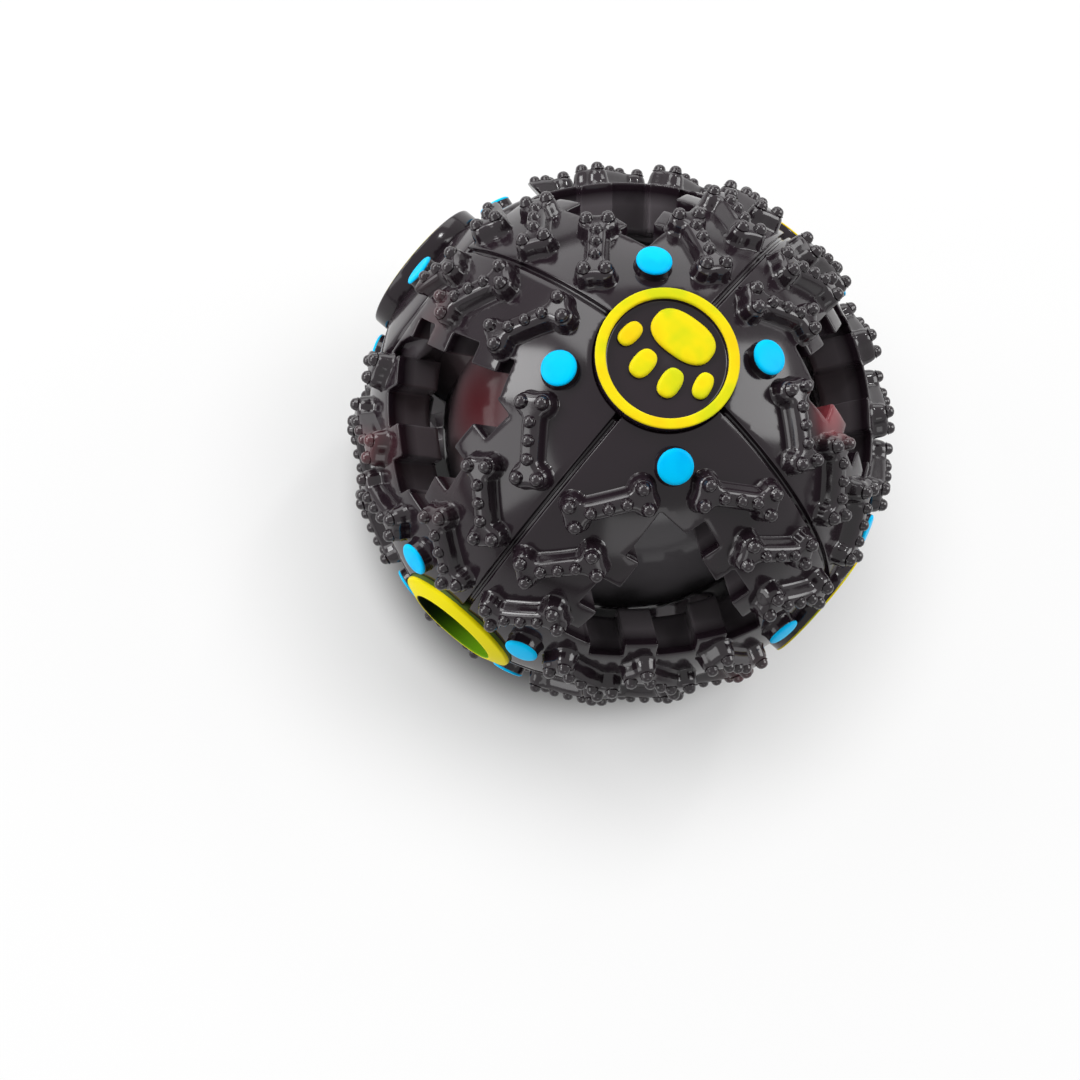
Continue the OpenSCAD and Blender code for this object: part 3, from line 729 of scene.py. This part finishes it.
def cut_off(points, faces, place, keep):
    """What a plane through the place leaves of a shape on the kept side, as triangles, with the
    cut end closed."""
    mesh = bpy.data.meshes.new("cut")
    mesh.from_pydata(points, [], faces.tolist())
    body = bmesh.new()
    body.from_mesh(mesh)
    bmesh.ops.remove_doubles(body, verts=body.verts, dist=weld_gap)
    cut = bmesh.ops.bisect_plane(
        body, geom=body.verts[:] + body.edges[:] + body.faces[:], plane_co=place, plane_no=keep,
        clear_inner=True)["geom_cut"]
    bmesh.ops.contextual_create(body, geom=[e for e in cut if isinstance(e, bmesh.types.BMEdge)])
    bmesh.ops.recalc_face_normals(body, faces=body.faces)
    bmesh.ops.triangulate(body, faces=body.faces)
    body.to_mesh(mesh)
    body.free()
    left = np.empty(3 * len(mesh.vertices), np.float32)
    mesh.vertices.foreach_get("co", left)
    corners = np.empty(len(mesh.loops), np.int32)
    mesh.loops.foreach_get("vertex_index", corners)
    bpy.data.meshes.remove(mesh)
    return left.reshape(-1, 3), corners.reshape(-1, 3)


def bones_shape(signs):
    """The bones of one panel. A bone that runs into the cap's hole is cut off at its edge, and
    beads that would lie across the edge are left out."""
    leans = [-signs[1], -signs[1], -signs[0] * signs[2]]
    shapes = []
    for angle, lean in zip(np.degrees(side_angles), leans):
        for along, out in zip(bone_along, bone_out):
            turn = angle + np.degrees(np.arctan2(lean * along, out))
            reach = np.hypot(along, out)
            surface = (np.sqrt(panel_r ** 2 - (set_back * np.sin(reach)) ** 2)
                       - set_back * np.cos(reach))
            tilt = np.degrees(np.arcsin(np.sin(reach) * surface / panel_r))
            stand = (turned(turn, "Z") @ turned(tilt, "Y")
                     @ turned(angle + lean * (90 + bone_lean) - turn, "Z"))
            for number, (points, faces) in enumerate(bone_parts):
                points = (raised(points, stand) @ octant.T) * signs
                if np.prod(signs) < 0:
                    faces = faces[:, ::-1]
                from_cap = np.hypot(points[:, 1], points[:, 2])
                edge = cap_hole_r + bone_clear
                if signs[0] < 0 and from_cap.min() < edge:
                    if number or from_cap.max() < edge + least_bone:
                        continue
                    nearest = points[from_cap.argmax()] * [0, 1, 1]
                    keep = nearest / np.linalg.norm(nearest)
                    points, faces = cut_off(points, faces, keep * edge, keep)
                shapes.append((points, [faces]))
    return shapes


for z, name in ((1, "bones_upper"), (-1, "bones_lower")):
    shapes = [shape for s in all_signs if s[2] == z for shape in bones_shape(s)]
    lay_mesh(name, *together(shapes), bone_vinyl, "ball", "shell")


# Studs
# Round studs stand round each medallion, the port and the cap, moulded with the ball, with a
# dab of thick sky blue paint over the top of each.
stud_tilt = 20.9
cap_turn = -25
stud_columns = 40
stud_sides = np.array([
    (0, 53.0), (4.3, 54.6), (3.85, 55.0), (3.64, 55.5), (3.56, 56.1), (3.52, 56.7), (3.48, 57.15),
    (3.3, 57.4), (2.6, 57.5), (0, 57.5)]) * mm
stud_paint = np.array([
    (0, 56.8), (3.1, 56.8), (3.44, 56.95), (3.53, 57.15), (3.46, 57.4), (3.2, 57.6), (2.7, 57.7),
    (1.4, 57.75), (0, 57.76)]) * mm
facing = {"top": turned(0, "X"), "bottom": turned(180, "X"), "right": turned(90, "Y"),
          "back": turned(-90, "X"), "port": turned(90, "X"),
          "cap": turned(cap_turn, "X") @ turned(-90, "Y")}


def at_studs(side):
    """The four turns that stand a stud in its place round a side's axis."""
    return [facing[side] @ turned(quarter, "Z") @ turned(stud_tilt, "Y")
            for quarter in (45, 135, 225, 315)]


def paint(name, colour, cool, warm, wave):
    """Thick gloss paint: its colour drifts to a cooler and a warmer one, and its skin is wavy."""
    material = new_material(name)
    where = shader(material, "ShaderNodeTexCoord", (-900, 0))
    drift = shader(material, "ShaderNodeTexNoise", (-600, 100),
                   {"Vector": where.outputs["Object"], "Scale": 130, "Detail": 2}).outputs["Fac"]
    colours = ramp(material, (-300, 100), drift, (0.32, cool), (0.48, colour), (0.70, warm))
    bump = shader(material, "ShaderNodeBump", (0, -200),
                  {"Height": drift, "Strength": wave, "Distance": 0.3 * mm})
    return skinned(material, colours, bump, {"Roughness": 0.36, "Specular IOR Level": 0.05})


blue_paint = paint("blue_paint", (0.0, 0.55, 0.98), (0.0, 0.46, 0.92), (0.0, 0.58, 0.98), 0.25)
ball_sides = ["top", "bottom", "right", "back", "port"]
ball_studs = [turn for side in ball_sides for turn in at_studs(side)]
lay_mesh("stud_sides", *together([lathe(stud_sides, stud_columns, turn) for turn in ball_studs]),
         vinyl, "ball", "shell")
stud_tops = lay_mesh("stud_tops", *together(
    [lathe(stud_paint, stud_columns, turn) for turn in ball_studs]),
    blue_paint, "ball", "blue_paint")
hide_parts("stud_paint")


# Medallions
# A medallion is a plug of the same black vinyl pressed into its seat: a raised ring round a
# sunk disc with the five pads of a paw. The ring's top and the pads are painted yellow.
ring_r = 13.85 * mm
ring_w = 2.0 * mm
ring_top = 56.8 * mm
disc_z = 55.1 * mm
pad_rise = 1.1 * mm
disc_r = ring_r - ring_w
paw_turn = 4.6
pad_power = 2.5
pads = [(0, 0.47, 0, 13.2, 8.4), (0.266, -0.29, 93.5, 6.1, 4.1), (-0.266, -0.29, 86.5, 6.1, 4.1),
        (0.715, -0.01, 98.5, 5.4, 3.4), (-0.715, -0.01, 81.5, 5.4, 3.4)]
pad_side = np.array([(0.35, -0.2), (0.1, 0.03), (0, 0.25), (-0.02, 0.5)]) * mm
pad_paint = np.array([(0.05, 0.38), (0.04, 0.5), (0.0, 0.72), (-0.12, 0.9), (-0.35, 1.03),
                      (-0.7, 1.1)]) * mm
pad_columns = 56
ring_columns = 96


def eased(corners, radii, steps=6):
    """A profile with its corners eased: each leaves the edge before it and joins the edge after
    it at the radius from the corner, along a parabola."""
    corner = np.array(corners) * mm
    reach = np.array(radii)[:, None] * mm
    before, after = [np.roll(corner, n, 0) - corner for n in (1, -1)]
    start = corner + before / np.maximum(np.hypot(*before.T), weld_gap)[:, None] * reach
    end = corner + after / np.maximum(np.hypot(*after.T), weld_gap)[:, None] * reach
    t = np.linspace(0, 1, steps)[:, None, None]
    curve = (1 - t) ** 2 * start + 2 * t * (1 - t) * corner + t ** 2 * end
    return curve.transpose(1, 0, 2).reshape(-1, 2)


def pads_shape(rows, closed_at, turn):
    """The five pads of a paw, each a superellipse: its half length and half width times the
    cosine and sine, each to the power of two over the pad's own power. Rows step in by an
    offset along the outline's normal and up by a height, and both ends close at the middle."""
    ray = circle(pad_columns)
    shape = np.sign(ray) * np.abs(ray) ** (2 / pad_power)
    place = turn @ turned(paw_turn, "Z")
    heights = np.array([rows[0, 1], *rows[:, 1], closed_at, closed_at]) + disc_z
    shapes = []
    for across, up, spin, length, width in pads:
        line = shape * np.array([length, width]) / 2 * mm
        grid = line + rows[:, :1, None] * outward(line)
        grid = np.concatenate([[grid[0] * 0], grid, [grid[-1] / 2, grid[-1] * 0]])
        grid = grid @ turned(spin, "Z")[:2, :2].T + np.array([across, up]) * disc_r
        shapes.append((lifted(grid, heights) @ place.T, [band_faces(len(grid), pad_columns)]))
    return shapes


def medallion_body(radius, top, turn):
    """The black plug: its stem and seat, the ring's rounded wall and the sunk disc, with the
    sides of the pads."""
    r, t, disc = radius / mm, top / mm, disc_z / mm
    profile = eased(
        [(0, 40), (5, 40), (5, 50.2), (r, 50.2), (r, t - 0.12), (r - 2, t - 0.12),
         (r - 2.12, disc), (0, disc)], [0, 0, 0, 0, 0.5, 0.5, 0.5, 0])
    return [lathe(profile, ring_columns, turn)] + pads_shape(pad_side, pad_side[-1, 1], turn)


def ring_paint(radius, top, turn, inset=0):
    """The yellow skin over the ring's top: it turns down a little at both edges, and stops at
    the inset from the outer one."""
    r, t = radius / mm, top / mm
    edge = r + 0.02 - inset / mm
    profile = eased(
        [(r - 1.9, t - 0.45), (edge - 0.3, t - 0.45), (edge, t - 0.42), (edge, t),
         (r - 2.03, t), (r - 2.08, t - 0.6), (r - 1.9, t - 0.45)], [0, 0, 0.1, 0.3, 0.45, 0, 0])
    return lathe(profile, ring_columns, turn)


yellow_paint = paint("yellow_paint", (0.79, 0.66, 0.008), (0.60, 0.62, 0.010),
                     (0.82, 0.57, 0.008), 0.35)
medallions = {"top": "medallion_top", "bottom": "medallion_bottom", "right": "medallion_right",
              "back": "medallion_back"}
for side, node in medallions.items():
    body = lay_mesh(node + "_body", *together(medallion_body(ring_r, ring_top, facing[side])),
                    vinyl, "ball", "medallion")
    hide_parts(node)
rings = lay_mesh("medallion_rings", *together([ring_paint(ring_r, ring_top, facing[side])
                                               for side in medallions]),
                 yellow_paint, "ball", "yellow_paint")
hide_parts("medallion_ring_paint")
paws = lay_mesh("medallion_paws", *together([pad for side in medallions for pad in pads_shape(
    pad_paint, pad_rise, facing[side])]), yellow_paint, "ball", "yellow_paint")
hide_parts("medallion_paw_paint")


# Treat port
# A black bush is glued into the ball's front, down into the inner ball. A yellow liner with a
# sloping lip is pressed into it, and treats roll out through the liner.
port_columns = 128
painted_light_x = [-8 * mm, 9 * mm]
painted_shade_y = [-53 * mm, -46 * mm]
lip_r = [9.8 * mm, 10.1 * mm]
bush_painted_glow_y = [-54.6 * mm, -51 * mm]
liner_profile = eased(
    [(9.75, 31.8), (10.5, 31.8), (10.5, 54.6), (13.9, 54.6), (13.9, 55.4), (10.1, 56.8),
     (9.75, 56.6), (9.75, 31.8)], [0, 0.2, 0, 0.12, 0.42, 0.2, 0.2, 0])
bush_profile = eased(
    [(10.53, 36.8), (11.7, 36.8), (11.7, 50.2), (13.85, 50.2), (13.85, 54.58), (10.53, 54.58),
     (10.53, 36.8)], [0, 0, 0, 0, 0.1, 0, 0])


def blended(material, value, start, end, first, second):
    """The socket of a colour that goes from the first to the second between two values."""
    share = faded(material, (-600, 0), value, start, end)
    return shader(material, "ShaderNodeMix", (-300, 0), {"Factor": share, 6: first, 7: second},
                  data_type="RGBA").outputs[2]


def port_places(name):
    """A new material, with the node of the place on the object, the sockets of its X and Y, and
    that of its distance from the port's axis."""
    material = new_material(name)
    where = shader(material, "ShaderNodeTexCoord", (-1500, 0))
    split = shader(material, "ShaderNodeSeparateXYZ", (-1300, 0), {0: where.outputs["Object"]})
    across = shader(material, "ShaderNodeCombineXYZ", (-1100, 0),
                    {"X": split.outputs["X"], "Z": split.outputs["Z"]})
    axis = shader(material, "ShaderNodeVectorMath", (-900, 0), {0: across}, operation="LENGTH")
    return material, where, split.outputs["X"], split.outputs["Y"], axis.outputs["Value"]


def port_skin(material, where, colour, roughness):
    """Slightly wavy plastic of that colour."""
    skinned(material, colour, waves(material, where, 120, 0.2),
            {"Roughness": roughness, "Specular IOR Level": 0.04})


port_yellow, where, x, y, from_axis = port_places("port_yellow")
# Painted light and shade inside the liner: green on one side, near black on the other side and
# deeper in.
liner_painted_light_and_shade = blended(port_yellow, x, *painted_light_x, (0.004, 0.008, 0.002, 1), (0.13, 0.32, 0.006, 1))
liner_painted_light_and_shade = blended(port_yellow, y, *painted_shade_y, liner_painted_light_and_shade, (0.004, 0.006, 0.003, 1))
liner_colour = blended(port_yellow, from_axis, *lip_r, liner_painted_light_and_shade, (0.84, 0.72, 0.004, 1))
port_skin(port_yellow, where, liner_colour, 0.45)
liner = lay_mesh("port_liner_tube", *lathe(liner_profile, port_columns, facing["port"]),
                 port_yellow, "ball", "port_yellow")
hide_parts("port_liner")
port_black, where, _, y, _ = port_places("port_black")
# A painted green glow on the black bush near the lip, fading to near black deeper in.
bush_painted_glow = blended(port_black, y, *bush_painted_glow_y, (0.10, 0.15, 0.03, 1), (0.012, 0.012, 0.010, 1))
port_skin(port_black, where, bush_painted_glow, 0.3)
bush = lay_mesh("port_bush_ring", *lathe(bush_profile, port_columns, facing["port"]),
                port_black, "ball", "shell")
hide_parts("port_bush")


# Fill cap
# The cap closes the hole that the ball is filled through. It is black vinyl with four stubs of
# groove, four studs and a medallion, and its round hollow holds the hard plug.
cap_r = 27.3 * mm
cap_edge = 0.5 * mm
cap_ring_r = 15.6 * mm
cap_ring_top = 57.8 * mm
cap_floor = [(0, 47.5), (21, 47.5), (21, 41.3), (27.1, 41.3), (27.3, 41.5)]
cap_top_radii = [25.5, 23.7, 21.9, 20.1, 18.3, 16.5, 15.0]
cap_middle_z = 52 * mm
cap_columns = 18
cap_ring_inset = 0.6 * mm


def cap_shape(turn):
    """The cap as rows of rings. Its top is four panels that meet: at each place the height of
    the nearest one's sphere, less a depth that follows the groove's profile by the distance
    from the groove's plane."""
    beside = groove_half * np.concatenate(
        [[0, 0.45, 0.75, 0.95], 1 + rounding[::-1, 0] * groove_edge / groove_half])
    under = np.concatenate([groove_depth * np.array([1, 1, 0.95, 0.8]),
                            rounding[::-1, 1] * groove_edge])

    def ring(radius, depth):
        """One ring of the top, at a radius and a depth below the panels."""
        slip = np.arcsin(beside / radius)
        between = np.linspace(slip[-1], np.pi / 2 - slip[-1], cap_columns + 2)[1:-1]
        quarter = np.concatenate([slip, between, np.pi / 2 - slip[:0:-1]])
        angle = np.concatenate([quarter + np.pi / 2 * n for n in range(4)])
        deep = np.tile(np.concatenate([under, np.zeros(cap_columns), under[:0:-1]]), 4) + depth
        flat_place = radius * np.stack([np.cos(angle), np.sin(angle)], 1)
        from_centre = np.abs(flat_place) + set_back / np.sqrt(3)
        height = np.sqrt((panel_r - deep) ** 2 - (from_centre ** 2).sum(1)) - set_back / np.sqrt(3)
        return np.column_stack([flat_place, height])

    top = [ring(cap_r - cap_edge * d, cap_edge * t) for d, t in rounding[::-1]]
    top += [ring(radius * mm, 0) for radius in cap_top_radii]
    rows = []
    for radius, height in cap_floor:
        row = top[0].copy()
        row[:, :2] *= radius * mm / cap_r
        row[:, 2] = height * mm
        rows.append(row)
    rows += [(rows[-1] + top[0]) / 2] + top
    end = top[-1].copy()
    end[:, 2] = cap_middle_z
    rows += [end, end * [0, 0, 1]]
    return np.concatenate(rows) @ turn.T, [band_faces(len(rows), len(rows[0]))]


cap_studs = at_studs("cap")
cap_disc = lay_mesh("fill_cap_disc", *together(
    [cap_shape(facing["cap"])] + [lathe(stud_sides, stud_columns, turn) for turn in cap_studs]),
    vinyl, "cap", "shell")
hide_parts("fill_cap")
cap_stud_tops = lay_mesh("cap_stud_tops", *together(
    [lathe(stud_paint, stud_columns, turn) for turn in cap_studs]),
    blue_paint, "cap", "blue_paint")
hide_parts("cap_stud_paint")
cap_body = lay_mesh("cap_medallion_body", *together(
    medallion_body(cap_ring_r, cap_ring_top, facing["cap"])), vinyl, "cap", "medallion")
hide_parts("cap_medallion")
cap_ring = lay_mesh(
    "cap_ring", *ring_paint(cap_ring_r, cap_ring_top, facing["cap"], cap_ring_inset),
    yellow_paint, "cap", "yellow_paint")
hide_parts("cap_ring_paint")
cap_paw = lay_mesh("cap_paw", *together(pads_shape(pad_paint, pad_rise, facing["cap"])),
                   yellow_paint, "cap", "yellow_paint")
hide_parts("cap_paw_paint")


# Inner ball, plug and sound unit
# The smooth inner ball is blown vinyl, painted a lighter grey all over as painted light, since the
# shell shades it, with a faint dark red of painted light where light gets through it. The plug and
# sound tube are hard plastic, the seal is rubber, the weight is zinc and the reed is brass.
def moulded(name, colour, roughness, tint, tint_scale, metal=0.0):
    """Moulded plastic, rubber or metal: soft clouds of a second colour and a fine skin."""
    material = new_material(name)
    where = shader(material, "ShaderNodeTexCoord", (-900, 0))
    cloud = shader(material, "ShaderNodeTexNoise", (-600, 100),
                   {"Vector": where.outputs["Object"], "Scale": tint_scale})
    colours = ramp(material, (-300, 100), cloud.outputs["Fac"], (0.42, colour), (0.66, tint))
    return skinned(material, colours, waves(material, where, 900, 0.06, 0.1 * mm),
                   {"Roughness": roughness, "Metallic": metal})


# Painted light on the inner ball: dark red clouds, and a grey lighter than its vinyl where the
# shell shades it.
inner_painted_red_places = [((-25, -21, 21), 24, 1.0), ((24, 25, 18), 20, 0.9)]
inner_painted_red = (0.085, 0.018, 0.022)
inner_painted_light_grey = (0.15, 0.14, 0.15)
inner_vinyl = black_vinyl("inner_vinyl", inner_painted_red_places, inner_painted_red, inner_painted_light_grey, inner_painted_light_grey,
                          0.36, 0)
finishes = {
    "chamber_front": inner_vinyl, "chamber_back": inner_vinyl,
    "cap_plug": moulded("plug_plastic", (0.045, 0.045, 0.050), 0.4, (0.06, 0.06, 0.065), 60),
    "seal_ring": moulded("seal_rubber", (0.20, 0.012, 0.014), 0.6, (0.26, 0.02, 0.02), 90),
    "sound_weight": moulded("weight_zinc", (0.32, 0.33, 0.35), 0.35, (0.42, 0.42, 0.44), 70, 1.0),
    "sound_reed": moulded("reed_brass", (0.60, 0.38, 0.10), 0.3, (0.68, 0.46, 0.15), 70, 1.0)}
tube_plastic = moulded("tube_plastic", (0.66, 0.63, 0.55), 0.4, (0.72, 0.69, 0.62), 60)
finishes["sound_tube"] = finishes["sound_tube_cap"] = tube_plastic
for node, material in finishes.items():
    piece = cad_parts.get(node)
    if piece:
        piece.data.materials.clear()
        piece.data.materials.append(material)
